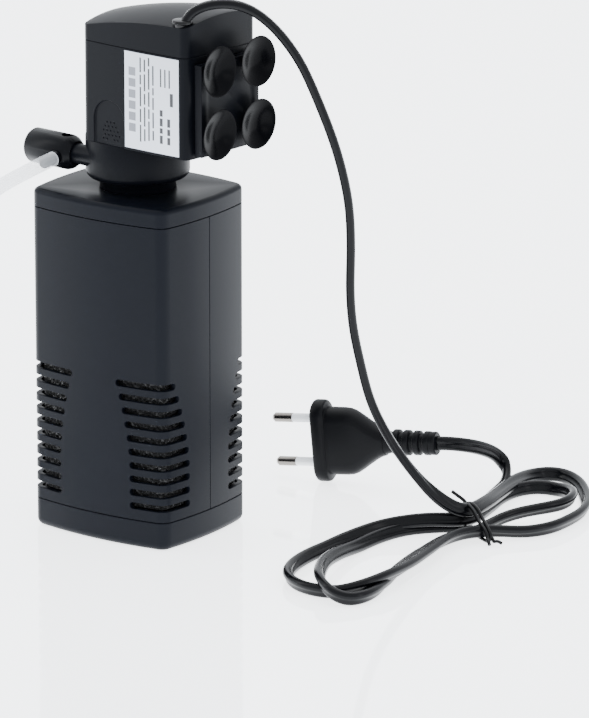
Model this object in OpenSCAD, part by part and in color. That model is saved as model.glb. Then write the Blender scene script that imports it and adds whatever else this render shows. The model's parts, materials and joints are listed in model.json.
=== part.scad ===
// Internal aquarium power filter: a slotted sponge canister, and a motor head that
// swivels on it, with an air-fed outlet nozzle, a slide-on suction cup bracket and a
// mains lead. Origin: centre of the base's underside. +Z up, label side +X, cups +Y.

/* [Canister] */
// Half width of the canister to its corners, along X
can_half_x = 27.8; // [24:0.2:34]
// Half depth of the canister to its corners, along Y
can_half_y = 33.2; // [28:0.2:40]
// How far the two wide faces bulge outwards
can_bulge_x = 3.4; // [1:0.2:6]
// How far the two narrow faces bulge outwards
can_bulge_y = 2.6; // [1:0.2:6]
// Radius of the upright corners
can_corner = 5.6; // [5:0.2:8]
// Height of the base cap
base_h = 12; // [9:0.5:16]
// Height of the two shells between base cap and lid
shell_h = 123.2; // [110:0.2:140]
// Height of the lid
lid_h = 7.6; // [6:0.2:10]
// Thickness of the canister's walls
wall = 2.2; // [1.8:0.1:2.8]

/* [Inlet slots] */
// Number of slots above each other at each corner
slot_count = 10; // [6:1:12]
// Height of one slot
slot_h = 2.8; // [2:0.1:3.2]
// Distance from one slot to the next
slot_pitch = 5.65; // [5:0.05:6.5]
// Height of the lowest slot's middle
slot_low = 18; // [16:0.5:24]

/* [Head] */
// How far the head is turned on the canister, in degrees
head_turn = -4.5; // [-10:0.5:10]
// Half width of the motor block
block_half_x = 22.2; // [21:0.2:26]
// Front of the motor block, on the nozzle side
block_front = -11.4; // [-12:0.2:-10.8]
// Back of the motor block, on the suction cup side
block_back = 45.5; // [44:0.5:50]
// Height of the motor housing below its cover
block_h = 41.8; // [40:0.2:46]
// Outer diameter of the pump chamber
volute_d = 42.4; // [40:0.2:44]
// Height of the pump chamber
volute_h = 17; // [16:0.5:20]
// Outer diameter of the swivel neck
neck_d = 30.8; // [28:0.2:32]

/* [Outlet nozzle] */
// Sideways distance of the nozzle's axis from the pump's axis
nozzle_x = 15.5; // [15:0.1:16]
// Outer diameter of the nozzle
nozzle_d = 14.4; // [13:0.2:15]
// Length of the nozzle
nozzle_len = 23.4; // [20:0.2:30]

/* [Suction cups] */
// Diameter of a suction cup's rim
cup_d = 20.6; // [18:0.2:22]
// Half of the distance between the cups side by side
cup_x = 12; // [11.5:0.1:12.5]
// Height of the lower pair of cups
cup_low = 175; // [174:0.5:177]
// Height of the upper pair of cups
cup_high = 200.6; // [199:0.2:202]

/* [Cord and hose] */
// Diameter of a round cord with the flat lead's cross-section
cord_d = 4.9; // [4:0.1:5]
// Outer diameter of the air hose
hose_d = 6; // [5:0.5:6]

/* [Hidden] */
$fn = 64;

// ---- heights
shell_z = base_h;
lid_z = shell_z + shell_h;
lid_top = lid_z + lid_h;
volute_z = lid_top + 4.4;
block_z = volute_z + volute_h;
cover_z = block_z + block_h;
nozzle_z = volute_z + 8.8;
seam = 0.15;
rim_h = 4;
sponge_gap = 1.2;
roof_apex_y = 38;
roof_top = cover_z + 15;
roof_r_x = 80;
roof_r_y = 190;

// ---- head
block_mid = (block_front + block_back) / 2;
block_half_y = (block_back - block_front) / 2;
block_wall = 2.3;
block_bulge = 0.8;
block_corner = 3.8;
well_r = 8;
well_bore = 6.6;
well_top = 201;
magnet_r = 6;
shaft_r = 1.25;
rotor_bore = 1.3;
bush_r = 2.6;
leg_x = 11.3;
leg_w = 6;
core_z = 176;
core_h = 16;
coil_y0 = 12;
coil_y1 = 30;
rail_z0 = 168;
rail_z1 = 203;
plate_y0 = block_back + 0.3;
plate_y1 = plate_y0 + 3.6;
cup_reach = 7.4;
stub_r = 4.2;
mouth_r = 5.6;
nozzle_back = -18.8;
barb_y = -24;
barb_droop = 8;
gland_at = [18.2, 40];

// ---- plug, seen with its pins along +X before it is laid down
plug_at = [-88.8, 26.1, 17.57];
plug_angle = -78.5;
plug_pitch = 5.5;
relief_len = 23.5;
plug_w = 35.3;
plug_t = 13.7;
pin_gap = 19;
pin_len = 19;
sleeve_len = 10;

// ---- tie, and the middles of the hank's two lobes
tie_at = [-64, 124];
hank_left = [18, 113];
hank_right = [-126, 126];
hank_lobe_r = 25;
hank_waist_r = 10;
hank_h = 11.2;

// ---- hose coil on the floor
coil_at = [95, -52];
coil_in = 25.5;
coil_out = 39.5;
valve_at = [60, -88];

// Route of the lead from the gland over the back of the head and down to the tie
LEAD_ROUTE = [[21.3, 38.5, 221.6], [19, 41.5, 224], [15, 46, 226.4], [9, 52, 227],
              [3, 58, 224.5], [-4, 65, 216.5], [-11, 72, 203], [-17, 77, 186],
              [-23, 82, 165], [-27, 85, 144], [-29, 85, 125], [-30, 84, 106],
              [-32, 84, 90], [-35, 86, 73], [-38, 89, 57], [-43, 95, 41],
              [-49, 103, 26], [-55, 112, 15], [-61, 119, 9]];
// Route of the lead from the tie to the plug's strain relief
PLUG_ROUTE = [[-70, 115, 3], [-89, 108.4, 2.6], [-104.5, 104.2, 2.6], [-118, 100.3, 3],
              [-126.8, 97, 5.4], [-130, 93.6, 9], [-126, 91.6, 13.8], [-115.3, 90.4, 19],
              [-106, 88.4, 22.2], [-101.6, 84.6, 23.2], [-98.9, 75.9, 22.5]];
// Route of the air hose from the barb down to the coil on the floor
HOSE_ROUTE = [[31, -26.5, 153.7], [42, -27, 152], [55, -28, 149.5], [70, -29, 144.5],
              [84, -30, 136], [95, -30.5, 124], [103, -31, 108], [108, -31.5, 90],
              [112, -32, 70], [115, -33, 50], [118, -34, 32], [121.5, -37, 17],
              [123.5, -43, 9]];
// The hose's end between the coil and the valve
HOSE_END = [[95, -88.5, 3], [87, -89, 3.6], [79, -88.6, 4.6], [72, -88, 5]];

// ---- outlines
// A rounded rectangle whose four faces bulge out as arcs, moved in by inset.
function bulged(hx, hy, bx, by, r, inset, nf = 8, nc = 6) =
    let (ra = (hy * hy + bx * bx) / (2 * bx), rb = (hx * hx + by * by) / (2 * by),
         ca = hx + bx - ra, cb = hy + by - rb,
         da = ra - r, db = rb - r, gap = sqrt(ca * ca + cb * cb),
         along = (da * da - db * db + gap * gap) / (2 * gap),
         off = sqrt(da * da - along * along),
         px = ca - along * ca / gap - off * cb / gap,
         py = along * cb / gap - off * ca / gap,
         a1 = atan2(py, px - ca), b1 = atan2(py - cb, px), rc = r - inset)
    concat(
        [for (i = [0 : nf]) let (t = -a1 + 2 * a1 * i / nf) [ca + (ra - inset) * cos(t), (ra - inset) * sin(t)]],
        [for (i = [1 : nc - 1]) let (t = a1 + (b1 - a1) * i / nc) [px + rc * cos(t), py + rc * sin(t)]],
        [for (i = [0 : nf]) let (t = b1 + (180 - 2 * b1) * i / nf) [(rb - inset) * cos(t), cb + (rb - inset) * sin(t)]],
        [for (i = [1 : nc - 1]) let (t = b1 + (a1 - b1) * i / nc) [-px - rc * cos(t), py + rc * sin(t)]],
        [for (i = [0 : nf]) let (t = a1 - 2 * a1 * i / nf) [-ca - (ra - inset) * cos(t), (ra - inset) * sin(t)]],
        [for (i = [1 : nc - 1]) let (t = a1 + (b1 - a1) * i / nc) [-px - rc * cos(t), -py - rc * sin(t)]],
        [for (i = [0 : nf]) let (t = b1 + (180 - 2 * b1) * i / nf) [-(rb - inset) * cos(t), -cb - (rb - inset) * sin(t)]],
        [for (i = [1 : nc - 1]) let (t = b1 + (a1 - b1) * i / nc) [px + rc * cos(t), -py - rc * sin(t)]]);
function can_outline(inset) = bulged(can_half_x, can_half_y, can_bulge_x, can_bulge_y, can_corner, inset);
function block_outline(inset) =
    bulged(block_half_x - block_bulge, block_half_y - block_bulge, block_bulge, block_bulge, block_corner, inset);

// A slab of the canister's outline between two heights.
module can_slab(z0, z1, inset) {
    translate([0, 0, z0]) linear_extrude(z1 - z0) polygon(can_outline(inset));
}

// A ring of the canister's outline between two heights.
module can_ring(z0, z1, outer, inner) {
    difference() {
        can_slab(z0, z1, outer);
        can_slab(z0 - 1, z1 + 1, inner);
    }
}

// A slab of the motor block's outline between two heights.
module block_slab(z0, z1, inset) {
    translate([0, block_mid, z0]) linear_extrude(z1 - z0) polygon(block_outline(inset));
}

// Turns a piece of the head with the head.
module on_head() {
    rotate([0, 0, head_turn]) children();
}

// A closed skin through rings of points that all have the same count.
function loft_faces(rings, n) = concat(
    [[for (j = [0 : n - 1]) j]],
    [for (i = [0 : rings - 2], j = [0 : n - 1])
        [i * n + j, (i + 1) * n + j, (i + 1) * n + (j + 1) % n, i * n + (j + 1) % n]],
    [[for (j = [n - 1 : -1 : 0]) (rings - 1) * n + j]]);

// A slab of the canister's outline whose edge is rounded, given [height, inset] steps.
module can_loft(steps) {
    n = len(can_outline(0));
    points = [for (s = steps, p = can_outline(s[1])) [p[0], p[1], s[0]]];
    polyhedron(points, loft_faces(len(steps), n));
}

// Quarter-round steps of radius r: the edge ends at height z, upwards (up = 1) or downwards (-1).
function rounded_edge(z, r, up) =
    [for (t = [0 : 18 : 90]) [z + up * r * (sin(t) - 1), r * (1 - cos(t))]];
function reversed(list) = [for (i = [len(list) - 1 : -1 : 0]) list[i]];

// ---- swept tubes
function unit(v) = v / norm(v);
function spline(p, q, r, s, t) =
    0.5 * (2 * q + (r - p) * t + (2 * p - 5 * q + 4 * r - s) * t * t + (3 * q - p - 3 * r + s) * t * t * t);
// Points along a smooth curve through the route, with steps rings from each point to the next.
function smooth_route(route, steps) =
    let (n = len(route), ends = concat([2 * route[0] - route[1]], route, [2 * route[n - 1] - route[n - 2]]))
    concat([for (i = [0 : n - 2], k = [0 : steps - 1])
            spline(ends[i], ends[i + 1], ends[i + 2], ends[i + 3], k / steps)], [route[n - 1]]);
function tangent(p, i) = unit(p[min(i + 1, len(p) - 1)] - p[max(i - 1, 0)]);
function square_to(u, t) = unit(u - (u * t) * t);
function side_vectors(p, i, u) =
    i == len(p) ? [] : let (v = square_to(u, tangent(p, i))) concat([v], side_vectors(p, i + 1, v));

// A round tube swept along a route, with a ring of sides corners at each point.
module swept_tube(route, steps, radius, sides, first_side) {
    path = smooth_route(route, steps);
    u = side_vectors(path, 0, first_side);
    points = [for (i = [0 : len(path) - 1], j = [0 : sides - 1])
              let (a = 360 * j / sides, w = cross(tangent(path, i), u[i]))
              path[i] + radius * (cos(a) * u[i] - sin(a) * w)];
    polyhedron(points, loft_faces(len(path), sides));
}

// ---- canister
module base_cap() {
    color([0.09, 0.09, 0.1]) {
        difference() {
            can_loft(concat(reversed(rounded_edge(0, 3, -1)), [[base_h - seam, 0]]));
            can_slab(3, base_h + 1, 4);
        }
        can_ring(base_h - seam, base_h + rim_h, wall + 0.3, 4);
        // socket for the strainer
        translate([0, 0, 2.9]) difference() {
            cylinder(r = 12, h = 8);
            translate([0, 0, 0.1]) cylinder(r = 9.6, h = 9);
        }
    }
}

// How far a row of slots is drawn back towards the corner: nothing low down, most at the top.
function slot_shift(i) = let (t = max(0, (i - 2.8) / (slot_count - 3.8))) 1 - pow(t, 1.6);

// Cuts the slots of one corner, in the quarter where x and y are positive.
module corner_slots() {
    for (i = [0 : slot_count - 1]) {
        z = slot_low + i * slot_pitch;
        y_end = 11 + 6.4 * slot_shift(i);
        x_end = 21.4 - 8.2 * slot_shift(i);
        translate([24, y_end + slot_h / 2, z]) {
            rotate([0, 90, 0]) cylinder(d = slot_h, h = 16, $fn = 24);
            translate([0, 0, -slot_h / 2]) cube([16, 30, slot_h]);
        }
        translate([x_end + slot_h / 2, 28, z]) {
            rotate([-90, 0, 0]) cylinder(d = slot_h, h = 16, $fn = 24);
            translate([0, 0, -slot_h / 2]) cube([30, 16, slot_h]);
        }
    }
}

// One half of the canister's wall: the half with positive x.
module half_shell() {
    difference() {
        intersection() {
            can_ring(shell_z + seam, lid_z - seam, 0, wall);
            translate([seam, -60, 0]) cube([60, 120, 200]);
        }
        corner_slots();
        mirror([0, 1, 0]) corner_slots();
    }
}
module shell_label_side() {
    color([0.1, 0.1, 0.11]) half_shell();
}
module shell_far_side() {
    color([0.1, 0.1, 0.11]) mirror([1, 0, 0]) half_shell();
}

module canister_lid() {
    color([0.09, 0.09, 0.1]) {
        difference() {
            union() {
                can_loft(concat([[lid_z + seam, 0]], rounded_edge(lid_top, 2, 1)));
                can_ring(lid_z - rim_h, lid_z + seam, wall + 0.3, 4);
                translate([0, 0, lid_z + 3.2]) cylinder(d = neck_d + 6, h = 2);
            }
            can_slab(lid_z - rim_h, lid_top - 2.4, 4);
            translate([0, 0, lid_z]) cylinder(d = neck_d + 0.1, h = 20);
        }
        translate([0, 0, lid_z + 3.2]) difference() {
            cylinder(d = neck_d + 6, h = 2.2);
            translate([0, 0, -1]) cylinder(d = neck_d + 0.1, h = 5);
        }
    }
}

module filter_sponge() {
    color([0.05, 0.05, 0.05]) difference() {
        can_slab(base_h + rim_h + 0.6, lid_z - rim_h - 0.4, wall + sponge_gap);
        cylinder(r = 10, h = 200);
    }
}

module intake_strainer() {
    color([0.12, 0.12, 0.13]) difference() {
        translate([0, 0, 3.2]) cylinder(r = 9.4, h = lid_z - 3.2);
        translate([0, 0, 5]) cylinder(r = 7.6, h = 200);
        for (k = [0 : 6], a = [0, 90]) {
            translate([0, 0, 26 + 14 * k]) rotate([0, 0, a]) cube([40, 5, 8], center = true);
        }
    }
}

// ---- head
module neck_clip() {
    color([0.75, 0.75, 0.72]) on_head() translate([0, 0, lid_z + 1.3]) difference() {
        cylinder(r = neck_d / 2 + 1.8, h = 1.4);
        translate([0, 0, -1]) cylinder(d = neck_d, h = 4);
        translate([0, -3, -1]) cube([40, 6, 4]);
    }
}

module neck_seal() {
    color([0.06, 0.06, 0.06]) on_head() translate([0, 0, lid_z + 5])
        rotate_extrude() translate([neck_d / 2 - 0.8, 0]) circle(r = 0.78, $fn = 24);
}

module volute_housing() {
    r = volute_d / 2;
    edge = [for (t = [0 : 15 : 90]) [r - 3 + 3 * sin(t), volute_z + 3 - 3 * cos(t)]];
    color([0.09, 0.09, 0.1]) on_head() {
        difference() {
            union() {
                rotate_extrude($fn = 96) polygon(concat([[0, volute_z]], edge, [[r, block_z], [0, block_z]]));
                translate([0, 0, lid_z + 1]) cylinder(d = neck_d, h = volute_z - lid_z);
                translate([nozzle_x, 0, nozzle_z]) rotate([90, 0, 0]) cylinder(r = stub_r, h = 21.8);
            }
            translate([0, 0, volute_z + 2.4]) cylinder(r = r - 2.4, h = 40);
            translate([0, 0, lid_z]) cylinder(r = 9, h = 20);
            translate([nozzle_x, 0, nozzle_z]) rotate([90, 0, 0]) cylinder(r = 3.1, h = 30);
            translate([0, 0, lid_z + 5]) rotate_extrude()
                translate([neck_d / 2 - 1.6, -0.9]) square([3, 1.8]);
            translate([0, 0, block_z - 1.2]) rotate_extrude() translate([r - 1.8, 0]) square([1.2, 3]);
        }
        // hub of the lower bush on three arms
        difference() {
            union() {
                translate([0, 0, volute_z - 1.4]) cylinder(r = 3.6, h = 3.8);
                for (a = [90, 210, 330]) rotate([0, 0, a])
                    translate([0, -0.8, volute_z - 1.4]) cube([9.4, 1.6, 2.6]);
            }
            translate([0, 0, volute_z]) cylinder(r = bush_r, h = 5);
        }
    }
}

module volute_seal() {
    color([0.06, 0.06, 0.06]) on_head() translate([0, 0, block_z - 0.6])
        rotate_extrude() translate([volute_d / 2 - 1.2, 0]) circle(r = 0.58, $fn = 24);
}

module impeller() {
    z = volute_z + 4;
    color([0.85, 0.85, 0.83]) on_head() difference() {
        union() {
            translate([0, 0, z]) cylinder(r = 12.6, h = 1.4);
            translate([0, 0, z]) cylinder(r = 3, h = block_z + 1.2 - z);
            for (a = [0 : 60 : 300]) rotate([0, 0, a]) translate([2, -0.6, z]) cube([10.4, 1.2, 8]);
        }
        translate([0, 0, z - 1]) cylinder(r = rotor_bore, h = 40);
    }
}

module rotor_magnet() {
    color([0.2, 0.2, 0.2]) on_head() translate([0, 0, block_z + 1.2]) difference() {
        cylinder(r = magnet_r, h = 29);
        translate([0, 0, -1]) cylinder(r = rotor_bore, h = 40);
    }
}

module rotor_shaft() {
    color([0.9, 0.9, 0.88]) on_head() translate([0, 0, volute_z + 0.2])
        cylinder(r = shaft_r, h = well_top - 2 - volute_z);
}

// A rubber bush that holds one end of the shaft.
module shaft_bush(z) {
    on_head() translate([0, 0, z]) difference() {
        cylinder(r = bush_r, h = 2.4);
        translate([0, 0, -1]) cylinder(r = shaft_r, h = 5);
    }
}
module shaft_bush_lower() {
    color([0.08, 0.08, 0.08]) shaft_bush(volute_z);
}
module shaft_bush_upper() {
    color([0.08, 0.08, 0.08]) shaft_bush(well_top - 4);
}

module motor_housing() {
    color([0.1, 0.1, 0.11]) on_head() difference() {
        union() {
            difference() {
                block_slab(block_z, cover_z - seam, 0);
                block_slab(block_z + 2.2, cover_z + 1, block_wall);
            }
            translate([0, 0, block_z]) cylinder(r = well_r, h = well_top - block_z);
            // rail for the suction cup bracket
            translate([-3, block_back - 1, rail_z0]) cube([6, 2.2, rail_z1 - rail_z0]);
            translate([-5.5, block_back + 1, rail_z0]) cube([11, 1.2, rail_z1 - rail_z0]);
        }
        translate([0, 0, block_z - 1]) cylinder(r = well_bore, h = well_top - 4 - block_z + 1);
        translate([0, 0, well_top - 5]) cylinder(r = bush_r, h = 3.4);
        // arched thumb recess in the label face
        translate([block_half_x - 1.2, 0, 0]) {
            translate([0, 4.1, block_z + 10.4]) rotate([0, 90, 0]) cylinder(r = 8.2, h = 5);
            translate([0, -4.1, block_z - 1]) cube([5, 16.4, 11.4]);
        }
    }
}

module stator_core() {
    color([0.45, 0.45, 0.47]) on_head() difference() {
        translate([0, 0, core_z]) union() {
            for (s = [-1, 1]) {
                translate([s * leg_x - leg_w / 2, -7, 0]) cube([leg_w, 47, core_h]);
                translate([s * 9.8 - 3, -7, 0]) cube([6, 15, core_h]);
            }
            translate([-leg_x - leg_w / 2, 34, 0]) cube([2 * leg_x + leg_w, 6, core_h]);
        }
        translate([0, 0, core_z - 1]) cylinder(r = well_r + 0.2, h = core_h + 2);
    }
}

// A square bobbin round the stator leg at x = side * leg_x.
module bobbin(side) {
    on_head() translate([side * leg_x, 0, core_z + core_h / 2]) difference() {
        union() {
            for (y = [coil_y0, coil_y1 - 1.2])
                translate([-7.8, y, -13]) cube([15.6, 1.2, 26]);
            translate([-4.4, coil_y0, -9.4]) cube([8.8, coil_y1 - coil_y0, 18.8]);
        }
        translate([-3.2, 0, -8.2]) cube([6.4, 60, 16.4]);
    }
}
module bobbin_left() {
    color([0.8, 0.78, 0.7]) bobbin(-1);
}
module bobbin_right() {
    color([0.8, 0.78, 0.7]) bobbin(1);
}

// The copper wound between one bobbin's flanges.
module winding(side) {
    on_head() translate([side * leg_x, 0, core_z + core_h / 2]) difference() {
        translate([-7, coil_y0 + 1.3, -12.2]) cube([14, coil_y1 - coil_y0 - 2.6, 24.4]);
        translate([-4.5, 0, -9.5]) cube([9, 60, 19]);
    }
}
module winding_left() {
    color([0.7, 0.35, 0.15]) winding(-1);
}
module winding_right() {
    color([0.7, 0.35, 0.15]) winding(1);
}

module potting_block() {
    color([0.15, 0.15, 0.17]) on_head() difference() {
        block_slab(block_z + 2.4, cover_z - 3.4, block_wall + 0.2);
        translate([0, 0, 100]) cylinder(r = well_r + 0.2, h = 150);
        for (s = [-1, 1]) {
            translate([s * 11.1 - 4.6, -7.4, core_z - 0.2]) cube([9.2, 47.8, core_h + 0.4]);
            translate([s * leg_x - 8, coil_y0 - 0.2, core_z + core_h / 2 - 13.2])
                cube([16, coil_y1 - coil_y0 + 0.4, 26.4]);
        }
        translate([-15, 33.8, core_z - 0.2]) cube([30, 6.6, core_h + 0.4]);
    }
}

// The crowned space below the roof, lowered by drop.
module roof_space(drop) {
    translate([0, roof_apex_y, roof_top - roof_r_y - drop]) rotate([0, 90, 0]) rotate_extrude($fn = 180)
        translate([roof_r_y - roof_r_x, 0]) circle(r = roof_r_x, $fn = 180);
}

module top_cover() {
    color([0.1, 0.1, 0.11]) on_head() difference() {
        intersection() {
            block_slab(cover_z, cover_z + 30, 0);
            roof_space(0);
        }
        intersection() {
            block_slab(cover_z - 1, cover_z + 30, block_wall);
            roof_space(2.3);
        }
        translate([gland_at[0], gland_at[1], cover_z]) cylinder(r = 3.4, h = 30);
    }
}

module rating_label() {
    color([0.86, 0.87, 0.9]) on_head() intersection() {
        difference() {
            block_slab(block_z + 1, cover_z - 1, -0.2);
            block_slab(block_z, cover_z, 0);
        }
        translate([10, 13, block_z + 1.2]) cube([20, 28, 39.6]);
    }
}

module cord_gland() {
    color([0.07, 0.07, 0.07]) on_head() translate([gland_at[0], gland_at[1], 0]) {
        translate([0, 0, cover_z + 9.4]) cylinder(r = 3.4, h = 4.6);
        translate([0, 0, cover_z + 13.4]) cylinder(r1 = 4.3, r2 = 3.9, h = 1.4);
    }
}

// ---- outlet
module outlet_nozzle() {
    r = nozzle_d / 2;
    tip = nozzle_len;
    skin = [[stub_r + 0.06, 0], [5, 0], [r - 0.4, 2.6], [r, 4], [r, tip - 0.8], [r - 0.5, tip],
            [mouth_r, tip], [mouth_r, 4.4], [mouth_r + 0.4, 4.4], [mouth_r + 0.4, 3.8], [stub_r + 0.06, 3.4]];
    color([0.09, 0.09, 0.1]) on_head() translate([nozzle_x, nozzle_back, nozzle_z]) difference() {
        rotate([90, 0, 0]) rotate_extrude($fn = 72) polygon(skin);
        translate([0, barb_y - nozzle_back, 0]) cylinder(r = 2.4, h = 12, $fn = 32);
        translate([0, barb_y - nozzle_back, 0]) rotate([0, 90 + barb_droop, 0]) cylinder(r = 1.7, h = 12, $fn = 32);
    }
}

module air_barb() {
    skin = [[0.8, 5.9], [1.68, 5.9], [1.68, 7.4], [3, 7.4], [3, 8.8], [2.1, 8.8], [2.1, 10.4], [2.5, 10.4],
            [2.1, 12.6], [2.5, 12.6], [2.1, 15.2], [1.7, 15.6], [0.8, 15.6]];
    color([0.08, 0.08, 0.08]) on_head() translate([nozzle_x, barb_y, nozzle_z])
        rotate([0, 90 + barb_droop, 0]) rotate_extrude($fn = 48) polygon(skin);
}

// ---- suction cups
module suction_cup_bracket() {
    color([0.09, 0.09, 0.1]) on_head() difference() {
        translate([-17.5, plate_y0, rail_z0 - 2.4]) cube([35, plate_y1 - plate_y0, rail_z1 - rail_z0 + 2.4]);
        // slot that runs on the housing's rail, open at the top
        translate([-3.3, plate_y0 - 1, rail_z0 - 0.3]) cube([6.6, 2, 60]);
        translate([-5.8, plate_y0 + 0.4, rail_z0 - 0.3]) cube([11.6, 1.8, 60]);
        for (x = [-cup_x, cup_x], z = [cup_low, cup_high])
            translate([x, 0, z]) rotate([-90, 0, 0]) cylinder(r = 2, h = 60, $fn = 32);
    }
}

// One suction cup: a button and stem in the bracket's hole, and the hollow disc outside.
module suction_cup(x, z) {
    r = cup_d / 2;
    y1 = plate_y1 - plate_y0;
    skin = [[0, 0.6], [1.9, 0.6], [1.9, y1 + 0.1], [3.4, y1 + 0.1], [3.6, y1 + 1.4], [r * 0.62, y1 + 2.4],
            [r * 0.9, y1 + cup_reach - 3.9], [r, y1 + cup_reach - 2.4], [r - 0.5, y1 + cup_reach - 2.3],
            [r * 0.82, y1 + cup_reach - 3.4], [r * 0.5, y1 + 2.9], [0, y1 + 2.3]];
    on_head() translate([x, plate_y0, z]) rotate([-90, 0, 0]) rotate_extrude($fn = 72) polygon(skin);
}
module suction_cup_1() {
    color([0.13, 0.13, 0.14]) suction_cup(cup_x, cup_low);
}
module suction_cup_2() {
    color([0.13, 0.13, 0.14]) suction_cup(-cup_x, cup_low);
}
module suction_cup_3() {
    color([0.13, 0.13, 0.14]) suction_cup(cup_x, cup_high);
}
module suction_cup_4() {
    color([0.13, 0.13, 0.14]) suction_cup(-cup_x, cup_high);
}

// ---- mains lead
module power_cord() {
    color([0.07, 0.07, 0.07]) {
        swept_tube(LEAD_ROUTE, 3, cord_d / 2, 8, [0.8, 0.58, 0]);
        swept_tube(PLUG_ROUTE, 2, cord_d / 2, 8, [0, 0, 1]);
    }
}

module cord_hank() {
    color([0.07, 0.07, 0.07]) linear_extrude(hank_h) {
        hull() {
            translate(tie_at) circle(r = hank_waist_r, $fn = 32);
            translate(hank_left) circle(r = hank_lobe_r, $fn = 32);
        }
        hull() {
            translate(tie_at) circle(r = hank_waist_r, $fn = 32);
            translate(hank_right) circle(r = hank_lobe_r, $fn = 32);
        }
    }
}

module cord_tie() {
    color([0.05, 0.05, 0.05]) translate([tie_at[0], tie_at[1], 0]) rotate([0, 0, -6]) difference() {
        translate([-1.5, -hank_waist_r - 2, 0]) cube([3, 2 * hank_waist_r + 4, hank_h + 1.6]);
        translate([-5, -hank_waist_r - 0.3, -1]) cube([10, 2 * hank_waist_r + 0.6, hank_h + 1.4]);
    }
}

// Lays a piece of the plug where the plug lies: pins along +X, wide side upright.
module on_plug() {
    translate(plug_at) rotate([0, 0, plug_angle]) rotate([0, plug_pitch, 0]) children();
}

module plug_body() {
    color([0.08, 0.08, 0.08]) on_plug() {
        hull() {
            for (z = [-1, 1]) translate([-6.5, 0, z * (plug_w - plug_t) / 2])
                rotate([0, 90, 0]) cylinder(d = plug_t, h = 6.5, $fn = 32);
        }
        hull() {
            for (z = [-1, 1]) translate([-18, 0, z * 8.6])
                rotate([0, 90, 0]) cylinder(d = 12, h = 11.6, $fn = 32);
            translate([-32, 0, 0]) rotate([0, 90, 0]) cylinder(d = 11.4, h = 1, $fn = 32);
        }
        translate([-31.5, 0, 0]) rotate([0, -90, 0]) cylinder(r1 = 5.7, r2 = 5, h = relief_len, $fn = 32);
    }
}

// One pin's insulating sleeve and its bare metal tip.
module pin_sleeve(z) {
    on_plug() translate([0, 0, z]) rotate([0, 90, 0]) cylinder(d = 3.8, h = sleeve_len);
}
module plug_pin(z) {
    on_plug() translate([sleeve_len, 0, z]) rotate([0, 90, 0]) {
        cylinder(d = 4, h = pin_len - sleeve_len - 1);
        translate([0, 0, pin_len - sleeve_len - 1]) cylinder(d1 = 4, d2 = 2.4, h = 1);
    }
}
module pin_sleeve_upper() {
    color([0.95, 0.95, 0.95]) pin_sleeve(pin_gap / 2);
}
module pin_sleeve_lower() {
    color([0.95, 0.95, 0.95]) pin_sleeve(-pin_gap / 2);
}
module plug_pin_upper() {
    color([0.8, 0.8, 0.8]) plug_pin(pin_gap / 2);
}
module plug_pin_lower() {
    color([0.8, 0.8, 0.8]) plug_pin(-pin_gap / 2);
}

// ---- air hose
module air_hose() {
    color([0.85, 0.9, 0.92]) {
        swept_tube(HOSE_ROUTE, 2, hose_d / 2, 10, [0, 1, 0]);
        swept_tube(HOSE_END, 2, hose_d / 2, 10, [0, 0, 1]);
    }
}

module air_hose_coil() {
    color([0.85, 0.9, 0.92]) translate([coil_at[0], coil_at[1], 0])
        rotate_extrude() translate([coil_in, 0]) square([coil_out - coil_in, hose_d]);
}

module air_valve_body() {
    color([0.1, 0.1, 0.1]) translate([valve_at[0], valve_at[1], 5]) rotate([0, 90, 0]) {
        translate([0, 0, -8]) cylinder(r = 5, h = 16);
        translate([0, 0, 8]) cylinder(r = 2.4, h = 3.9);
        translate([0, 0, -14]) cylinder(r = 2.4, h = 6);
    }
}

module air_valve_knob() {
    color([0.12, 0.12, 0.12]) translate([valve_at[0], valve_at[1], 10.2]) {
        cylinder(r = 4.2, h = 5);
        translate([-0.8, -6, 5]) cube([1.6, 12, 3]);
    }
}

base_cap();
shell_label_side();
shell_far_side();
canister_lid();
filter_sponge();
intake_strainer();
neck_clip();
neck_seal();
volute_housing();
volute_seal();
impeller();
rotor_magnet();
rotor_shaft();
shaft_bush_lower();
shaft_bush_upper();
motor_housing();
stator_core();
bobbin_left();
bobbin_right();
winding_left();
winding_right();
potting_block();
top_cover();
rating_label();
outlet_nozzle();
air_barb();
suction_cup_bracket();
suction_cup_1();
suction_cup_2();
suction_cup_3();
suction_cup_4();
cord_gland();
power_cord();
cord_hank();
cord_tie();
plug_body();
pin_sleeve_upper();
pin_sleeve_lower();
plug_pin_upper();
plug_pin_lower();
air_hose();
air_hose_coil();
air_valve_body();
air_valve_knob();
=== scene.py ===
import json
import math

import bmesh
import bpy
from mathutils import Matrix, Vector
from mathutils.bvhtree import BVHTree


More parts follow.
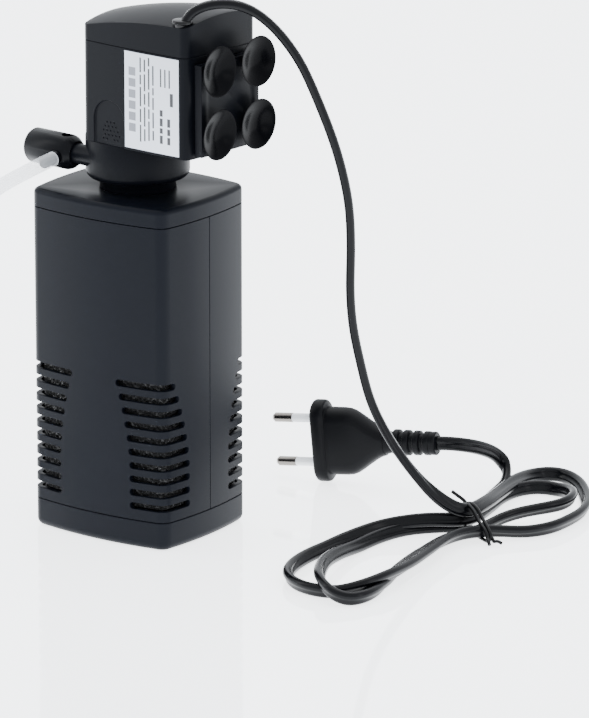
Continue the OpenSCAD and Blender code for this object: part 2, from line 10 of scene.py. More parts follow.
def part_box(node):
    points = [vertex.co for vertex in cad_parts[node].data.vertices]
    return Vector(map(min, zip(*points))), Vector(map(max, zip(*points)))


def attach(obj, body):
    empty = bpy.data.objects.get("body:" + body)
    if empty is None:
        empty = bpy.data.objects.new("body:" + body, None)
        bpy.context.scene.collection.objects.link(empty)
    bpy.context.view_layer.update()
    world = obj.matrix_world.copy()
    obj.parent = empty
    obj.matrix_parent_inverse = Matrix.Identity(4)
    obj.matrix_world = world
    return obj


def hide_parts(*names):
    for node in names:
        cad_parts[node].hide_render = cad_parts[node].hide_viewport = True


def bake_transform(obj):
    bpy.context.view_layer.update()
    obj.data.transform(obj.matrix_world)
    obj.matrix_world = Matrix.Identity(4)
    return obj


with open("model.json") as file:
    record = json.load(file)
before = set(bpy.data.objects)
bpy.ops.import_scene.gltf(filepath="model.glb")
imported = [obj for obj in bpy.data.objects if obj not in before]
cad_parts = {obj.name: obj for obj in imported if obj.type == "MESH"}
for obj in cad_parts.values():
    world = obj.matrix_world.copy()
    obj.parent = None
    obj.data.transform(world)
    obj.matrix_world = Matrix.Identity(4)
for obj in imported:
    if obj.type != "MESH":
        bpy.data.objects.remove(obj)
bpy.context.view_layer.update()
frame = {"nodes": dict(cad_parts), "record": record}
record = frame["record"]
MM = 0.001
HEAD_TURN = Matrix.Rotation(math.radians(-4.5), 4, "Z")


def mm(x, y, z):
    return Vector((x, y, z)) * MM


def on_head(x, y, z):
    """A point given in the head's own axes, in mm, as a point in the row frame."""
    return HEAD_TURN @ mm(x, y, z)


# ---------------------------------------------------------------- camera
CAMERA_AT = (1.9958, 1.5015, 0.7949)
CAMERA_TARGET = (-0.0368, 0.0516, 0.0695)
camera = bpy.data.objects.new("camera", bpy.data.cameras.new("camera"))
bpy.context.scene.collection.objects.link(camera)
camera.location = CAMERA_AT
camera.data.sensor_width = 36
camera.data.lens = 319.4
camera.data.clip_end = 30
camera.rotation_mode = "QUATERNION"
camera.rotation_quaternion = (Vector(CAMERA_TARGET) - camera.location).to_track_quat("-Z", "Y")
bpy.context.scene.camera = camera


# ---------------------------------------------------------------- materials
def material(name, colour, rough, specular=0.5, metal=0.0, bump=0.0, scale=900.0, wear=0.0, **extra):
    """A procedural finish: a base colour, patches of roughness where wear is given, and a fine bumpy grain.
    """
    m = bpy.data.materials.new(name)
    m.use_nodes = True
    nodes, links = m.node_tree.nodes, m.node_tree.links
    shader = nodes["Principled BSDF"]
    shader.inputs["Metallic"].default_value = metal
    shader.inputs["Specular IOR Level"].default_value = specular
    shader.inputs["Roughness"].default_value = rough
    shader.inputs["Base Color"].default_value = (*colour, 1)
    for key, value in extra.items():
        shader.inputs[key.replace("_", " ")].default_value = value
    place = nodes.new("ShaderNodeTexCoord")
    if wear:
        patches = nodes.new("ShaderNodeTexNoise")
        patches.inputs["Scale"].default_value = 35
        patches.inputs["Detail"].default_value = 6
        span = nodes.new("ShaderNodeMapRange")
        span.inputs["To Min"].default_value = rough - wear
        span.inputs["To Max"].default_value = rough + wear
        links.new(place.outputs["Object"], patches.inputs["Vector"])
        links.new(patches.outputs["Fac"], span.inputs["Value"])
        links.new(span.outputs["Result"], shader.inputs["Roughness"])
    if bump:
        grain = nodes.new("ShaderNodeTexNoise")
        grain.inputs["Scale"].default_value = scale
        grain.inputs["Detail"].default_value = 3
        raised = nodes.new("ShaderNodeBump")
        raised.inputs["Strength"].default_value = bump
        raised.inputs["Distance"].default_value = 0.0002
        links.new(place.outputs["Object"], grain.inputs["Vector"])
        links.new(grain.outputs["Fac"], raised.inputs["Height"])
        links.new(raised.outputs["Normal"], shader.inputs["Normal"])
    return m


def sponge_material():
    """Open black foam: rounded cells, their pits darkened by painted shade, with a few wet glints."""
    m = material("sponge_foam", (0.006, 0.006, 0.007), 0.6, specular=0.3)
    nodes, links = m.node_tree.nodes, m.node_tree.links
    shader = nodes["Principled BSDF"]
    place = nodes.new("ShaderNodeTexCoord")
    cells = nodes.new("ShaderNodeTexVoronoi")
    cells.inputs["Scale"].default_value = 750
    # Painted shade: the base colour darkens towards each cell's middle, where the bump sinks its pit.
    ramp = nodes.new("ShaderNodeValToRGB")
    ramp.color_ramp.elements[0].color = (0.0015, 0.0015, 0.0015, 1)
    ramp.color_ramp.elements[1].color = (0.012, 0.012, 0.013, 1)
    ramp.color_ramp.elements[0].position = 0.25
    ramp.color_ramp.elements[1].position = 0.75
    pits = nodes.new("ShaderNodeBump")
    pits.inputs["Strength"].default_value = 1
    pits.inputs["Distance"].default_value = 0.0008
    wet = nodes.new("ShaderNodeMapRange")
    wet.inputs["From Min"].default_value = 0.45
    wet.inputs["From Max"].default_value = 0.75
    wet.inputs["To Min"].default_value = 0.8
    wet.inputs["To Max"].default_value = 0.15
    links.new(place.outputs["Object"], cells.inputs["Vector"])
    links.new(cells.outputs["Distance"], ramp.inputs["Fac"])
    links.new(ramp.outputs["Color"], shader.inputs["Base Color"])
    links.new(cells.outputs["Distance"], pits.inputs["Height"])
    links.new(pits.outputs["Normal"], shader.inputs["Normal"])
    links.new(cells.outputs["Distance"], wet.inputs["Value"])
    links.new(wet.outputs["Result"], shader.inputs["Roughness"])
    return m


MATERIALS = {
    "canister_plastic": material(
        "canister_plastic", (0.0032, 0.0041, 0.0068), 0.36, 0.07, bump=0.05, wear=0.02
    ),
    "head_plastic": material("head_plastic", (0.0026, 0.0031, 0.0047), 0.38, 0.062, bump=0.06, wear=0.02),
    "nozzle_plastic": material("nozzle_plastic", (0.0028, 0.0031, 0.0042), 0.28, 0.07, bump=0.04),
    "inner_plastic": material("inner_plastic", (0.012, 0.012, 0.013), 0.5, 0.4, bump=0.05),
    "clip_plastic": material("clip_plastic", (0.6, 0.61, 0.59), 0.45, bump=0.04),
    "cup_rubber": material("cup_rubber", (0.0012, 0.0013, 0.0018), 0.2, 0.028, bump=0.02),
    "seal_rubber": material("seal_rubber", (0.003, 0.003, 0.0035), 0.25, 0.2, bump=0.05),
    "sponge_foam": sponge_material(),
    "magnet": material("magnet", (0.12, 0.12, 0.13), 0.5, metal=0.6, bump=0.08),
    "shaft_ceramic": material("shaft_ceramic", (0.8, 0.79, 0.76), 0.15, bump=0.01),
    "core_steel": material("core_steel", (0.4, 0.41, 0.43), 0.4, metal=1.0, bump=0.2, scale=1500),
    "bobbin_plastic": material("bobbin_plastic", (0.66, 0.62, 0.52), 0.5, bump=0.05),
    "copper_wire": material("copper_wire", (0.55, 0.22, 0.08), 0.3, metal=0.9, bump=0.5, scale=1800),
    "potting_resin": material("potting_resin", (0.03, 0.03, 0.035), 0.25, bump=0.05),
    "label_film": material("label_film", (0.66, 0.7, 0.78), 0.38, 0.3, bump=0.03),
    "cord_pvc": material("cord_pvc", (0.0018, 0.002, 0.0028), 0.25, 0.12, bump=0.04, wear=0.04),
    "plug_pvc": material("plug_pvc", (0.0024, 0.0026, 0.0034), 0.4, 0.08, bump=0.1, scale=1300),
    "tie_wire": material("tie_wire", (0.002, 0.002, 0.0025), 0.35, 0.15, bump=0.04),
    "sleeve_plastic": material("sleeve_plastic", (0.82, 0.84, 0.87), 0.25, bump=0.02),
    "pin_metal": material("pin_metal", (0.2, 0.185, 0.17), 0.22, metal=1.0, bump=0.03),
    "hose_silicone": material("hose_silicone", (0.93, 0.96, 1.0), 0.16, 0.5, bump=0.02, Alpha=0.36),
    "print_dark": material("print_dark", (0.02, 0.02, 0.025), 0.5, bump=0.02),
    "print_grey": material("print_grey", (0.19, 0.2, 0.23), 0.5, bump=0.02),
}
SLOT_OF = {s["node"]: s["material_slot"] for s in record["subparts"]}
BODY_OF = {n: body for body, nodes in record["behaviour"]["bodies"].items() for n in nodes}


def new_object(name, mesh, slot, body=None):
    o = bpy.data.objects.new(name, mesh)
    bpy.context.scene.collection.objects.link(o)
    mesh.materials.clear()
    mesh.materials.append(MATERIALS[slot])
    if body:
        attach(o, body)
    return o


def smooth(mesh, degrees=32):
    """Smooth shading with sharp edges where two faces meet at more than this."""
    mesh.polygons.foreach_set("use_smooth", [True] * len(mesh.polygons))
    mesh.set_sharp_from_angle(angle=math.radians(degrees))


for node, o in frame["nodes"].items():
    o.data.materials.clear()
    o.data.materials.append(MATERIALS[SLOT_OF[node]])
    smooth(o.data)


# Points nearer than this, in metres, are one point; faces flatter than this are one face
MERGE_WITHIN, FLAT_WITHIN = 2e-6, math.radians(0.6)
BEVEL_FROM = math.radians(34)


def cleaned(node):
    """A copy of a CAD node's mesh with doubled points merged and flat faces joined."""
    mesh = frame["nodes"][node].data.copy()
    bm = bmesh.new()
    bm.from_mesh(mesh)
    bmesh.ops.remove_doubles(bm, verts=bm.verts, dist=MERGE_WITHIN)
    bmesh.ops.dissolve_limit(bm, angle_limit=FLAT_WITHIN, verts=bm.verts, edges=bm.edges)
    bm.to_mesh(mesh)
    bm.free()
    return mesh


def refined(node, width):
    """A copy of a CAD node with its edges broken by a small round, in place of the node."""
    mesh = cleaned(node)
    o = bpy.data.objects.new(node + "_draft", mesh)
    bpy.context.scene.collection.objects.link(o)
    bevel = o.modifiers.new("edge", "BEVEL")
    bevel.width = width * MM
    bevel.segments = 2
    bevel.limit_method = "ANGLE"
    bevel.angle_limit = BEVEL_FROM
    bevel.miter_outer = "MITER_ARC"
    shown = o.evaluated_get(bpy.context.evaluated_depsgraph_get())
    done = bpy.data.meshes.new_from_object(shown)
    bpy.data.objects.remove(o)
    smooth(done, 40)
    piece = new_object(node + "_skin", done, SLOT_OF[node], BODY_OF[node])
    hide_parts(node)
    return piece


def outline_normal(x, y, half_x, half_y, bulge_x, bulge_y, corner):
    """The direction square to a rounded rectangle with bulging faces, at a point on it."""
    ra = (half_y**2 + bulge_x**2) / (2 * bulge_x)
    rb = (half_x**2 + bulge_y**2) / (2 * bulge_y)
    ca, cb = half_x + bulge_x - ra, half_y + bulge_y - rb
    da, db, gap = ra - corner, rb - corner, math.hypot(ca, cb)
    along = (da * da - db * db + gap * gap) / (2 * gap)
    off = math.sqrt(da * da - along * along)
    px, py = ca - along * ca / gap - off * cb / gap, along * cb / gap - off * ca / gap
    sx, sy = math.copysign(1, x), math.copysign(1, y)
    x, y = abs(x), abs(y)
    if math.atan2(y, x - ca) <= math.atan2(py, px - ca):
        n = Vector((x - ca, y, 0))
    elif math.atan2(y - cb, x) >= math.atan2(py - cb, px):
        n = Vector((x, y - cb, 0))
    else:
        n = Vector((x - px, y - py, 0))
    n.normalize()
    return Vector((n.x * sx, n.y * sy, 0))


# A wall's normal rises less than WALL_RISE, its face is larger than SPECK (m2), and it lies
# along the outline within the angle whose cosine is ALONG
WALL_RISE, SPECK, ALONG = 0.12, 2e-7, 0.965


def even_walls(mesh, turn, middle_y, shape):
    """Gives upright walls their outline's exact direction, so that light runs evenly over them."""
    back = turn.inverted()
    normals = [Vector(c.vector) for c in mesh.corner_normals]
    for face in mesh.polygons:
        if abs(face.normal.z) > WALL_RISE or face.area < SPECK:
            continue
        for loop in face.loop_indices:
            p = back @ mesh.vertices[mesh.loops[loop].vertex_index].co / MM
            n = turn.to_3x3() @ outline_normal(p.x, p.y - middle_y, *shape)
            if n.dot(face.normal) > ALONG:
                normals[loop] = n
            elif n.dot(face.normal) < -ALONG:
                normals[loop] = -n
    mesh.normals_split_custom_set(normals)


def mesh_of(name, points, faces, degrees=40):
    mesh = bpy.data.meshes.new(name)
    mesh.from_pydata([tuple(p) for p in points], [], faces)
    bm = bmesh.new()
    bm.from_mesh(mesh)
    bmesh.ops.recalc_face_normals(bm, faces=bm.faces)
    bm.to_mesh(mesh)
    bm.free()
    smooth(mesh, degrees)
    return mesh


def loft(name, rings, degrees=40):
    """A skin through rings of points that all have the same count, capped at both ends."""
    n = len(rings[0])
    points = [p for ring in rings for p in ring]
    faces = [
        (i * n + j, i * n + (j + 1) % n, (i + 1) * n + (j + 1) % n, (i + 1) * n + j)
        for i in range(len(rings) - 1)
        for j in range(n)
    ]
    faces += [tuple(reversed(range(n))), tuple((len(rings) - 1) * n + j for j in range(n))]
    return mesh_of(name, points, faces, degrees)


# ---------------------------------------------------------------- swept cords
def spline(route, step):
    """Points about step apart along a smooth curve through the route."""
    pts = [Vector(p) for p in route]
    ends = [2 * pts[0] - pts[1], *pts, 2 * pts[-1] - pts[-2]]
    out = []
    for i in range(len(pts) - 1):
        p, q, r, s = ends[i : i + 4]
        count = max(2, round((r - q).length / step))
        for k in range(count):
            t = k / count
            square = 2 * p - 5 * q + 4 * r - s
            cube = 3 * q - p - 3 * r + s
            out.append(0.5 * (2 * q + (r - p) * t + square * t * t + cube * t**3))
    return [*out, pts[-1]]


def relaxed(points, times):
    """The same line with its small kinks smoothed out; its ends stay."""
    pts = list(points)
    for _ in range(times):
        pts = [pts[0], *((pts[i - 1] + 2 * pts[i] + pts[i + 1]) / 4 for i in range(1, len(pts) - 1)), pts[-1]]
    return pts


def length_of(points):
    return sum((b - a).length for a, b in zip(points, points[1:]))


def directions(points):
    n = len(points)
    return [(points[min(i + 1, n - 1)] - points[max(i - 1, 0)]).normalized() for i in range(n)]


def swept(name, points, profile, sides, degrees=50):
    """A profile of (side, up) offsets in metres carried along points; sides are the side directions."""
    tangents = directions(points)
    rings = []
    for p, t, s in zip(points, tangents, sides):
        side = (s - s.dot(t) * t).normalized()
        up = t.cross(side)
        rings.append([p + a * side + b * up for a, b in profile])
    return loft(name, rings, degrees)


def round_profile(radius, count):
    """A round cord's profile in metres, from its radius in mm."""
    turns = [2 * math.pi * k / count for k in range(count)]
    return [(radius * MM * math.cos(a), radius * MM * math.sin(a)) for a in turns]


def carried(points, first):
    """A side direction at each point, carried along the line from the first without twist."""
    side, out = first, []
    for t in directions(points):
        side = (side - side.dot(t) * t).normalized()
        out.append(side)
    return out


# ---------------------------------------------------------------- mains lead
# From the gland over the back of the head and down to the tie
AIR_PART = [(21.3, 38.5, 216), (20.6, 39.2, 221.6), (18.6, 41.8, 224.6), (15, 46, 226.6), (9, 52, 227.1),
            (3, 58, 224.5), (-4, 65, 216.5), (-11, 72, 203), (-17, 77, 186), (-23, 82, 165), (-27, 85, 144),
            (-29, 85, 125), (-30, 84, 106), (-32, 84, 90), (-35, 86, 73), (-38, 89, 57), (-43, 95, 41),
            (-49, 103, 26.5), (-55, 111, 16), (-61, 117, 10.5)]
# Two loops to each side of the tie, and last the length that goes to the plug
FAR_LOOP_1 = [(-68, 118.5, 9.3), (-82, 116, 8.4), (-103, 109.6, 6.6), (-121, 104.6, 5.6), (-137, 101.8, 3.4),
              (-145, 104, 2.6), (-147, 112, 2.5), (-141, 123, 2.5), (-129, 134, 2.4), (-118, 142, 2.4),
              (-106, 146.4, 2.4), (-93, 147.6, 2.4), (-83, 147, 2.4), (-74, 142.5, 2.6), (-66, 133, 3.4)]
NEAR_LOOP_1 = [(-56, 127, 4.6), (-43, 124.5, 5), (-22, 128, 5.4), (0, 132.5, 5.6), (18, 134, 6),
               (29, 131, 4.8), (37, 122.5, 2.4), (39, 113.5, 2.2), (36.6, 104, 2.2), (30, 96, 2.2),
               (20, 90.6, 2.2), (6, 87.6, 2.2), (-9, 87.2, 2.6), (-26, 89, 3.6), (-42, 94.4, 5),
               (-54, 106, 6.4), (-62, 116, 6)]
FAR_LOOP_2 = [(-72, 117.5, 5.4), (-87, 112.5, 3.4), (-104, 107.4, 2.2), (-118, 107, 2), (-127, 111.5, 2.1),
              (-129, 120, 2.6), (-124, 130, 4.8), (-114.5, 137, 5.8), (-104.5, 138.6, 5.8),
              (-96, 134, 5.4), (-87, 127.5, 4.4), (-76, 123.5, 2.8)]
NEAR_LOOP_2 = [(-62, 123.5, 2), (-49, 120, 2), (-25, 121.5, 2), (0, 127, 2), (18, 133.6, 2),
               (30, 136.4, 2), (39, 135, 2.4), (43, 129, 3.8), (41, 121.5, 6.2), (35, 115, 7),
               (26, 109, 6.6), (13, 102.5, 5.8), (-2, 98.5, 4.4), (-16, 96.5, 2.8), (-34, 96.4, 2),
               (-49, 100, 2), (-59, 108, 2)]
PLUG_PART = [(-66, 115.4, 2.1), (-76, 112, 2), (-89.2, 108.3, 2), (-104.5, 104.2, 2), (-117.9, 100.3, 2.4),
             (-126.8, 97, 5.2), (-130, 93.6, 9), (-126, 91.6, 13.8), (-115.3, 90.4, 19),
             (-106, 88.4, 22.2), (-101.6, 84.6, 23.3), (-99.7, 79.8, 22.9), (-98.7, 74.9, 22.4)]
LEAD_WIDTH, LEAD_THICK = 6.0, 3.7


def lead_profile():
    """Two round cores side by side with a shallow groove between them."""
    r = LEAD_THICK / 2
    off = LEAD_WIDTH / 2 - r
    arc = [math.radians(-100 + 20 * k) for k in range(11)]
    half = [(off + r * math.cos(a), r * math.sin(a)) for a in arc]
    other = [(-x, -y) for x, y in half]
    groove = 0.78 * r
    return [(x * MM, y * MM) for x, y in [*half, (0, groove), *other, (0, -groove)]]


LEAD_ROUTE = AIR_PART + FAR_LOOP_1 + NEAR_LOOP_1 + FAR_LOOP_2 + NEAR_LOOP_2 + PLUG_PART
lead_points = relaxed(spline([mm(*p) for p in LEAD_ROUTE], 2 * MM), 6)


# Distances from the plug where the lead starts to turn upright, and where it is upright
UPRIGHT_FROM, UPRIGHT_AT = 0.13, 0.04


def lead_sides(points):
    """The wide side: square to the bends in the air, and leaning on its edge round the loops."""
    view_side = Vector((0.81, 0.58, 0.12)).normalized()
    up = Vector((0, 0, 1))
    out, last = [], view_side
    tangents = directions(points)
    n = len(points)
    for i, t in enumerate(tangents):
        flat = up.cross(t)
        turn = (tangents[min(i + 6, n - 1)] - tangents[max(i - 6, 0)]).length
        lean = math.radians(18 + min(46, 95 * turn))
        if points[i].z > 0.02 or flat.length < 0.3:
            side = view_side
        else:
            flat.normalize()
            side = flat * math.cos(lean) + t.cross(flat) * math.sin(lean)
        side = (side - side.dot(t) * t).normalized()
        if side.dot(last) < 0:
            side = -side
        out.append(side)
        last = side
    step = length_of(points) / n
    upright = Vector((0, 0, math.copysign(1, out[n - round(UPRIGHT_FROM / step)].z)))
    for i in range(n):
        share = min(max((UPRIGHT_FROM - (n - 1 - i) * step) / (UPRIGHT_FROM - UPRIGHT_AT), 0), 1)
        out[i] = out[i].lerp(upright, share * share * (3 - 2 * share))
    for _ in range(30):
        out = [out[0], *((out[i - 1] + 2 * out[i] + out[i + 1]) / 4 for i in range(1, n - 1)), out[-1]]
    return out


def on_floor(points, sides):
    """The same points, raised where the lead's lower edge would be under the floor."""
    r, off = LEAD_THICK / 2 * MM, (LEAD_WIDTH - LEAD_THICK) / 2 * MM
    out = [Vector((p.x, p.y, max(p.z, r + off * abs(s.z)))) for p, s in zip(points, sides)]
    return relaxed(out, 2)


sides_of_lead = lead_sides(lead_points)
lead_points = on_floor(lead_points, sides_of_lead)
lead_mesh = swept("mains_lead", lead_points, lead_profile(), sides_of_lead)
lead = new_object("mains_lead", lead_mesh, "cord_pvc", "head")
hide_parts("power_cord", "cord_hank")

# ---------------------------------------------------------------- plug
PLUG_AT, PLUG_ANGLE, PLUG_PITCH = (-88.8, 26.1, 17.57), -78.5, 5.5
PLUG = (
    Matrix.Translation(mm(*PLUG_AT))
    @ Matrix.Rotation(math.radians(PLUG_ANGLE), 4, "Z")
    @ Matrix.Rotation(math.radians(PLUG_PITCH), 4, "Y")
)


def stadium(x, half_tall, half_thick, count=40):
    """A ring with round ends in the plane square to the plug's axis."""
    out = []
    for k in range(count):
        a = 2 * math.pi * (k + 0.5) / count
        z = math.copysign(max(0.0, half_tall - half_thick), math.sin(a)) + half_thick * math.sin(a)
        out.append(PLUG @ mm(x, half_thick * math.cos(a), z))
    return out


# Places along the plug's axis, each with half its height and half its thickness
body_steps = [(0, 16.6, 5.8), (-0.5, 17.3, 6.5), (-1.2, 17.65, 6.85), (-4.6, 17.65, 6.85), (-5.4, 17.4, 6.6),
              (-5.9, 16.8, 6.2), (-6.2, 15, 5.9), (-6.5, 14.6, 5.95), (-8, 14.6, 6), (-14, 14.55, 6),
              (-16.4, 14.3, 6), (-18.6, 13.5, 5.95), (-21, 12, 5.85), (-24, 9.9, 5.7), (-27, 7.9, 5.45),
              (-29.5, 6.5, 5.2), (-31.8, 5.7, 5)]
plug_mesh = loft("plug_shell", [stadium(*step) for step in body_steps], 28)
plug_body = new_object("plug_shell", plug_mesh, "plug_pvc", "head")
# Places along the axis with half the height: four ribs with grooves between, and an end ring
relief_steps = [(-31.2, 5.6)]
for k in range(4):
    x, r = -34 - 4.6 * k, 5.6 - 0.15 * k
    relief_steps += [(x, r - 1), (x - 1.5, r - 1.05), (x - 1.9, r - 0.15)]
    relief_steps += [(x - 2.2, r), (x - 4.1, r - 0.05), (x - 4.4, r - 0.3)]
relief_steps += [(-54.2, 5), (-54.7, 4.9), (-55, 4.5)]
RELIEF_FLATNESS = 0.85
relief_mesh = loft("plug_strain_relief", [stadium(x, r, r * RELIEF_FLATNESS) for x, r in relief_steps], 30)
plug_relief = new_object("plug_strain_relief", relief_mesh, "plug_pvc", "head")
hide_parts("plug_body")

# ---------------------------------------------------------------- wire tie
TIE = (
    Matrix.Translation(mm(-64.5, 122.5, 0))
    @ Matrix.Rotation(math.radians(-28), 4, "Z")
    @ Matrix.Diagonal((1, 1.1, 1, 1))
)


def wire(name, route, radius):
    """A round wire through points in the tie's own axes, in mm."""
    pts = relaxed(spline([TIE @ mm(*p) for p in route], 0.8 * MM), 2)
    sides = carried(pts, Vector((0.3, 0.1, 1)).normalized())
    return new_object(name, swept(name, pts, round_profile(radius, 12), sides), "tie_wire", "head")


tie_loop = wire(
    "tie_loop",
    [(0.4, -10.9, 2.6), (-0.3, -10.2, 7), (-0.8, -8, 10.9), (-0.9, -4.2, 12), (-0.8, 0, 11.3),
     (-0.6, 4.4, 8.6),
     (0, 9.6, 6.3), (0.4, 13, 3.4), (0.6, 11, 0.9), (0.8, 4, 0.8), (1, -5, 0.8), (1.2, -10.2, 1),
     (1.3, -11.4, 3.4), (1, -10.2, 7.6), (1.1, -7.6, 11.2), (1.2, -3.6, 12), (1.4, 1, 10.9), (1.9, 6, 8),
     (2, 11, 5.8), (2.2, 13.4, 3), (2.8, 14.8, 2.6), (3, 16.4, 1.4)],
    0.75,
)
tie_end = wire(
    "tie_end",
    [(-0.8, -8.4, 10.6), (-0.2, -9.6, 12), (1, -11.6, 13.2), (2.4, -14.4, 14.6)],
    0.75,
)
tie_twist = wire(
    "tie_twist",
    [(0.2, 11.8, 3.4), (-0.6, 13.4, 2.2), (0.4, 14.6, 1.6), (-0.9, 15.6, 2.4), (-2.6, 16.4, 1.2)],
    0.7,
)
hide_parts("cord_tie")

# ---------------------------------------------------------------- air hose
BARB_ROOT = on_head(24.4, -24, 154.75)
BARB_TIP = on_head(30.9, -24, 153.84)
FALL = [(42, -27, 152), (55, -28, 149.5), (70, -29, 144.5), (84, -30, 136), (95, -30.5, 124), (103, -31, 108),
        (108, -31.5, 90), (112, -32, 70), (115, -33, 50), (118, -34.5, 32), (121, -38, 18)]
COIL_CENTRE = (95, -52)
HOSE_RADIUS = 3


def coil_point(angle):
    """One and a quarter turns, opening outwards; the first part comes down from above."""
    r = 28.5 + 8 * (20 - angle) / 470
    down = max(0.0, (angle + 40) / 60)
    x = COIL_CENTRE[0] + r * math.cos(math.radians(angle))
    y = COIL_CENTRE[1] + r * math.sin(math.radians(angle))
    return mm(x, y, 3 + 6.5 * down * down * (3 - 2 * down))


hose_route = [BARB_ROOT, BARB_TIP, *(mm(*p) for p in FALL), *(coil_point(20 - 15 * k) for k in range(32)),
              mm(87, -89, 3.6), mm(79, -88.6, 4.6), mm(68.6, -88, 5)]
hose_points = relaxed(spline(hose_route, 2 * MM), 3)
hose_sides = carried(hose_points, Vector((0, 1, 0)))
hose_mesh = swept("air_hose_tube", hose_points, round_profile(HOSE_RADIUS, 20), hose_sides, 60)
hose = new_object("air_hose_tube", hose_mesh, "hose_silicone")
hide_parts("air_hose", "air_hose_coil")
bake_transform(hose)

valve = refined("air_valve_body", 0.4)
knob = refined("air_valve_knob", 0.35)

# ---------------------------------------------------------------- housing
CAN_PARTS = ("base_cap", "shell_label_side", "shell_far_side", "canister_lid")
CAN_SHAPE = (27.8, 33.2, 3.4, 2.6, 5.6)
BLOCK_PARTS = ("motor_housing", "top_cover")
BLOCK_SHAPE = (21.4, 27.65, 0.8, 0.8, 3.8)
BLOCK_MIDDLE = 17.05
EDGE_ROUNDS = {
    "base_cap": 0.3, "shell_label_side": 0.3, "shell_far_side": 0.3, "canister_lid": 0.25,
    "intake_strainer": 0.25, "volute_housing": 0.35, "motor_housing": 0.45, "top_cover": 0.45,
    "outlet_nozzle": 0.35, "air_barb": 0.2, "suction_cup_bracket": 0.5, "cord_gland": 0.5,
    "neck_clip": 0.2,
}
for node, width in EDGE_ROUNDS.items():
    piece = refined(node, width)
    if node in CAN_PARTS:
        even_walls(piece.data, Matrix.Identity(4), 0, CAN_SHAPE)
    elif node in BLOCK_PARTS:
        even_walls(piece.data, HEAD_TURN, BLOCK_MIDDLE, BLOCK_SHAPE)

# ---------------------------------------------------------------- sponge
foam = cleaned("filter_sponge")
smooth(foam, 30)
sponge = new_object("foam_block", foam, "sponge_foam", "canister")
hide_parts("filter_sponge")

# ---------------------------------------------------------------- suction cups
# A cup's outline from its stem to its rim and back to its middle: radius, distance from the plate
CUP_SKIN = [(0, 0.6), (1.7, 0.6), (1.9, 0.9), (1.9, 3.6), (3.1, 3.72), (3.5, 4.1), (3.6, 5), (4, 6),
            (5.2, 6.8), (7, 7.5), (8.8, 8), (9.9, 8.35), (10.3, 8.56), (10.25, 8.68), (9.9, 8.66),
            (9, 8.36), (7.6, 7.9), (6, 7.3), (4.4, 6.7), (3, 6.34), (1.5, 6.12), (0, 6.05)]
# Height on the stem above which a cup leans, and the share of each lean below that it takes
CUP_ROOT, CUP_LEAN = 4.5, 0.35
CUPS = {
    "suction_cup_1": (3, -4), "suction_cup_2": (-3, -3), "suction_cup_3": (4, 3), "suction_cup_4": (-2, 4),
}
for node, (roll, nod) in CUPS.items():
    low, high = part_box(node)
    middle = (low + high) / 2
    root = HEAD_TURN.inverted() @ middle
    in_head = [HEAD_TURN.inverted() @ v.co for v in frame["nodes"][node].data.vertices]
    root.y = min(p.y for p in in_head) - CUP_SKIN[0][1] * MM
    roll_turn = Matrix.Rotation(math.radians(roll * CUP_LEAN), 4, "Z")
    lean = roll_turn @ Matrix.Rotation(math.radians(nod * CUP_LEAN), 4, "X")
    rings = []
    for r, y in CUP_SKIN:
        ring = []
        flop = lean if y > CUP_ROOT else Matrix.Identity(4)
        r = max(r, 0.01)
        for k in range(64):
            a = 2 * math.pi * k / 64
            p = flop @ mm(r * math.cos(a), y - CUP_ROOT, r * math.sin(a)) + mm(0, CUP_ROOT, 0)
            ring.append(HEAD_TURN @ (root + p))
        rings.append(ring)
    cup = new_object(node + "_soft", loft(node + "_soft", rings, 50), "cup_rubber", "cup_bracket")
    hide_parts(node)

# ---------------------------------------------------------------- label and its print
refined("rating_label", 0.05)
bm = bmesh.new()
bm.from_mesh(frame["nodes"]["rating_label"].data)
label_skin = BVHTree.FromBMesh(bm)
bm.free()
LABEL_Y0, LABEL_Z0 = 13, 165.4
PRINT_LIFT = 0.00003


def printed(name, bars, slot):
    """Flat bars (across, up, width, height) in mm from the label's lower corner, laid on its face."""
    points, faces = [], []
    for u, v, w, h in bars:
        steps = max(1, round(w / 1.5))
        base = len(points)
        for k in range(steps + 1):
            for dv in (0, h):
                start = on_head(60, LABEL_Y0 + u + w * k / steps, LABEL_Z0 + v + dv)
                hit = label_skin.ray_cast(start, HEAD_TURN.to_3x3() @ Vector((-1, 0, 0)))[0]
                points.append(hit + HEAD_TURN.to_3x3() @ Vector((PRINT_LIFT, 0, 0)))
        faces += [(base + 2 * k, base + 2 * k + 2, base + 2 * k + 3, base + 2 * k + 1) for k in range(steps)]
    mesh = bpy.data.meshes.new(name)
    mesh.from_pydata([tuple(p) for p in points], [], faces)
    return new_object(name, mesh, slot, "head")


grey_bars = [(2.2, 7 + 4.6 * k, 3.6, 3.4) for k in range(6)]
dark_bars = []
TEXT_COLUMNS = [(8, (7, 5.5, 8, 4, 6)), (10.2, (5, 8, 4.5, 7, 5)), (12.4, (8, 4, 6, 8.5, 3.5)),
                (14.6, (4, 6.5, 5, 3, 8))]
for column, (u, lengths) in enumerate(TEXT_COLUMNS):
    v = 3.4 + 0.5 * column
    for h in lengths:
        dark_bars.append((u, v, 0.75, h))
        v += h + 1
for u, lengths in ((18.4, (3.4, 2.2, 3.2, 2.6)), (22.2, (3, 2.6, 3.4))):
    v = 4.2
    for h in lengths:
        dark_bars.append((u, v, 1.5, h))
        v += h + 0.8
dark_bars += [(23.6, 20, 1.6, 5.4), (18.6, 27.4, 0.7, 7.4), (20.8, 27.4, 0.7, 7.4), (23, 27.4, 0.7, 7.4)]
printed("label_print_grey", grey_bars, "print_grey")
printed("label_print_dark", dark_bars, "print_dark")

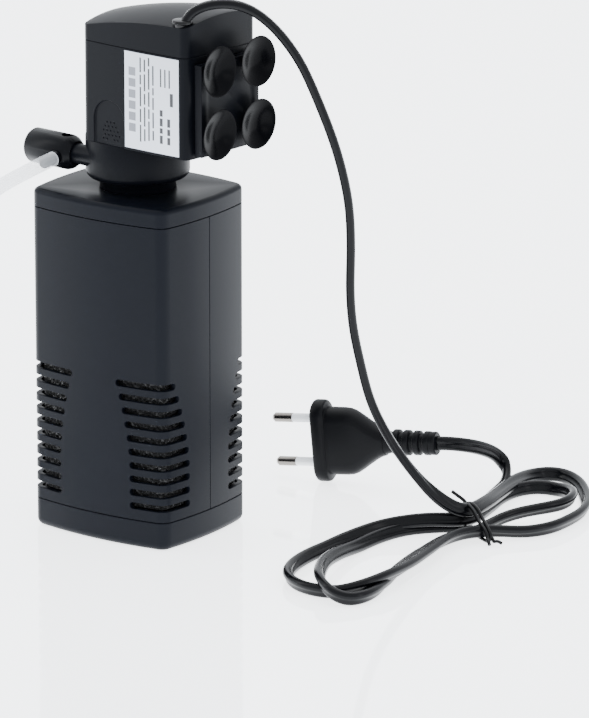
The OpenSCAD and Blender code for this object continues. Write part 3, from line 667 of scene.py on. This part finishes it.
# ---------------------------------------------------------------- pips in the thumb recess
bm = bmesh.new()
for row in range(5):
    for column in range(5):
        if (row, column) in ((4, 0), (4, 4), (0, 2), (3, 4)):
            continue
        at = on_head(21.0, 0.2 + 1.9 * column + 0.9 * (row % 2), 166.6 + 1.75 * row)
        squash = Matrix.Translation(at) @ HEAD_TURN @ Matrix.Diagonal((0.7, 1, 1, 1))
        bmesh.ops.create_uvsphere(bm, u_segments=12, v_segments=8, radius=0.42 * MM, matrix=squash)
pips_mesh = bpy.data.meshes.new("recess_pips")
bm.to_mesh(pips_mesh)
bm.free()
smooth(pips_mesh, 60)
new_object("recess_pips", pips_mesh, "head_plastic", "head")

# ---------------------------------------------------------------- floor, world and lights
floor_mesh = bpy.data.meshes.new("floor")
floor_mesh.from_pydata([(-8, -8, 0), (8, -8, 0), (8, 8, 0), (-8, 8, 0)], [], [(0, 1, 2, 3)])
floor = bpy.data.objects.new("floor", floor_mesh)
floor.location.z = -0.0001
bpy.context.scene.collection.objects.link(floor)
# The floor gives off light, which fades towards the +X +Y side
floor_mat = material("white_gloss", (0.93, 0.96, 1.0), 0.05, 0.5, bump=0.01, scale=3, IOR=3.0)
nodes, links = floor_mat.node_tree.nodes, floor_mat.node_tree.links
place = nodes.new("ShaderNodeTexCoord")
split = nodes.new("ShaderNodeSeparateXYZ")
lean = nodes.new("ShaderNodeMath")
lean.operation = "MULTIPLY"
lean.inputs[1].default_value = 0.714
nearness = nodes.new("ShaderNodeMath")
nearness.operation = "ADD"
fade = nodes.new("ShaderNodeMapRange")
fade.interpolation_type = "SMOOTHSTEP"
fade.inputs["From Min"].default_value = 0.5
fade.inputs["From Max"].default_value = 0.95
fade.inputs["To Min"].default_value = 2.8
fade.inputs["To Max"].default_value = 0.1
glow = nodes["Principled BSDF"]
glow.inputs["Emission Color"].default_value = (0.965, 0.985, 1, 1)
links.new(place.outputs["Object"], split.inputs["Vector"])
links.new(split.outputs["Y"], lean.inputs[0])
links.new(split.outputs["X"], nearness.inputs[0])
links.new(lean.outputs["Value"], nearness.inputs[1])
links.new(nearness.outputs["Value"], fade.inputs["Value"])
links.new(fade.outputs["Result"], glow.inputs["Emission Strength"])
floor_mesh.materials.append(floor_mat)

world = bpy.data.worlds.new("studio")
bpy.context.scene.world = world
world.use_nodes = True
background = world.node_tree.nodes["Background"]
background.inputs["Color"].default_value = (0.93, 0.96, 1, 1)
background.inputs["Strength"].default_value = 2.0


def area_light(name, at, target, size, power):
    data = bpy.data.lights.new(name, "AREA")
    data.shape = "RECTANGLE"
    data.size, data.size_y = size
    data.energy = power
    o = bpy.data.objects.new(name, data)
    bpy.context.scene.collection.objects.link(o)
    o.location = at
    o.rotation_mode = "QUATERNION"
    o.rotation_quaternion = (Vector(target) - Vector(at)).to_track_quat("-Z", "Y")


top_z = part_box("top_cover")[1].z
area_light("overhead", (-0.5, -0.3, 1.5), (0, 0.05, top_z / 2), (1.4, 1.4), 14)
area_light("left_strip", (0.6, -1.1, 0.7), (0, 0, top_z / 2), (0.3, 1.0), 4)
area_light("right_strip", (-0.2, 1.6, 0.6), (0, 0.05, top_z / 2), (0.35, 0.9), 3)
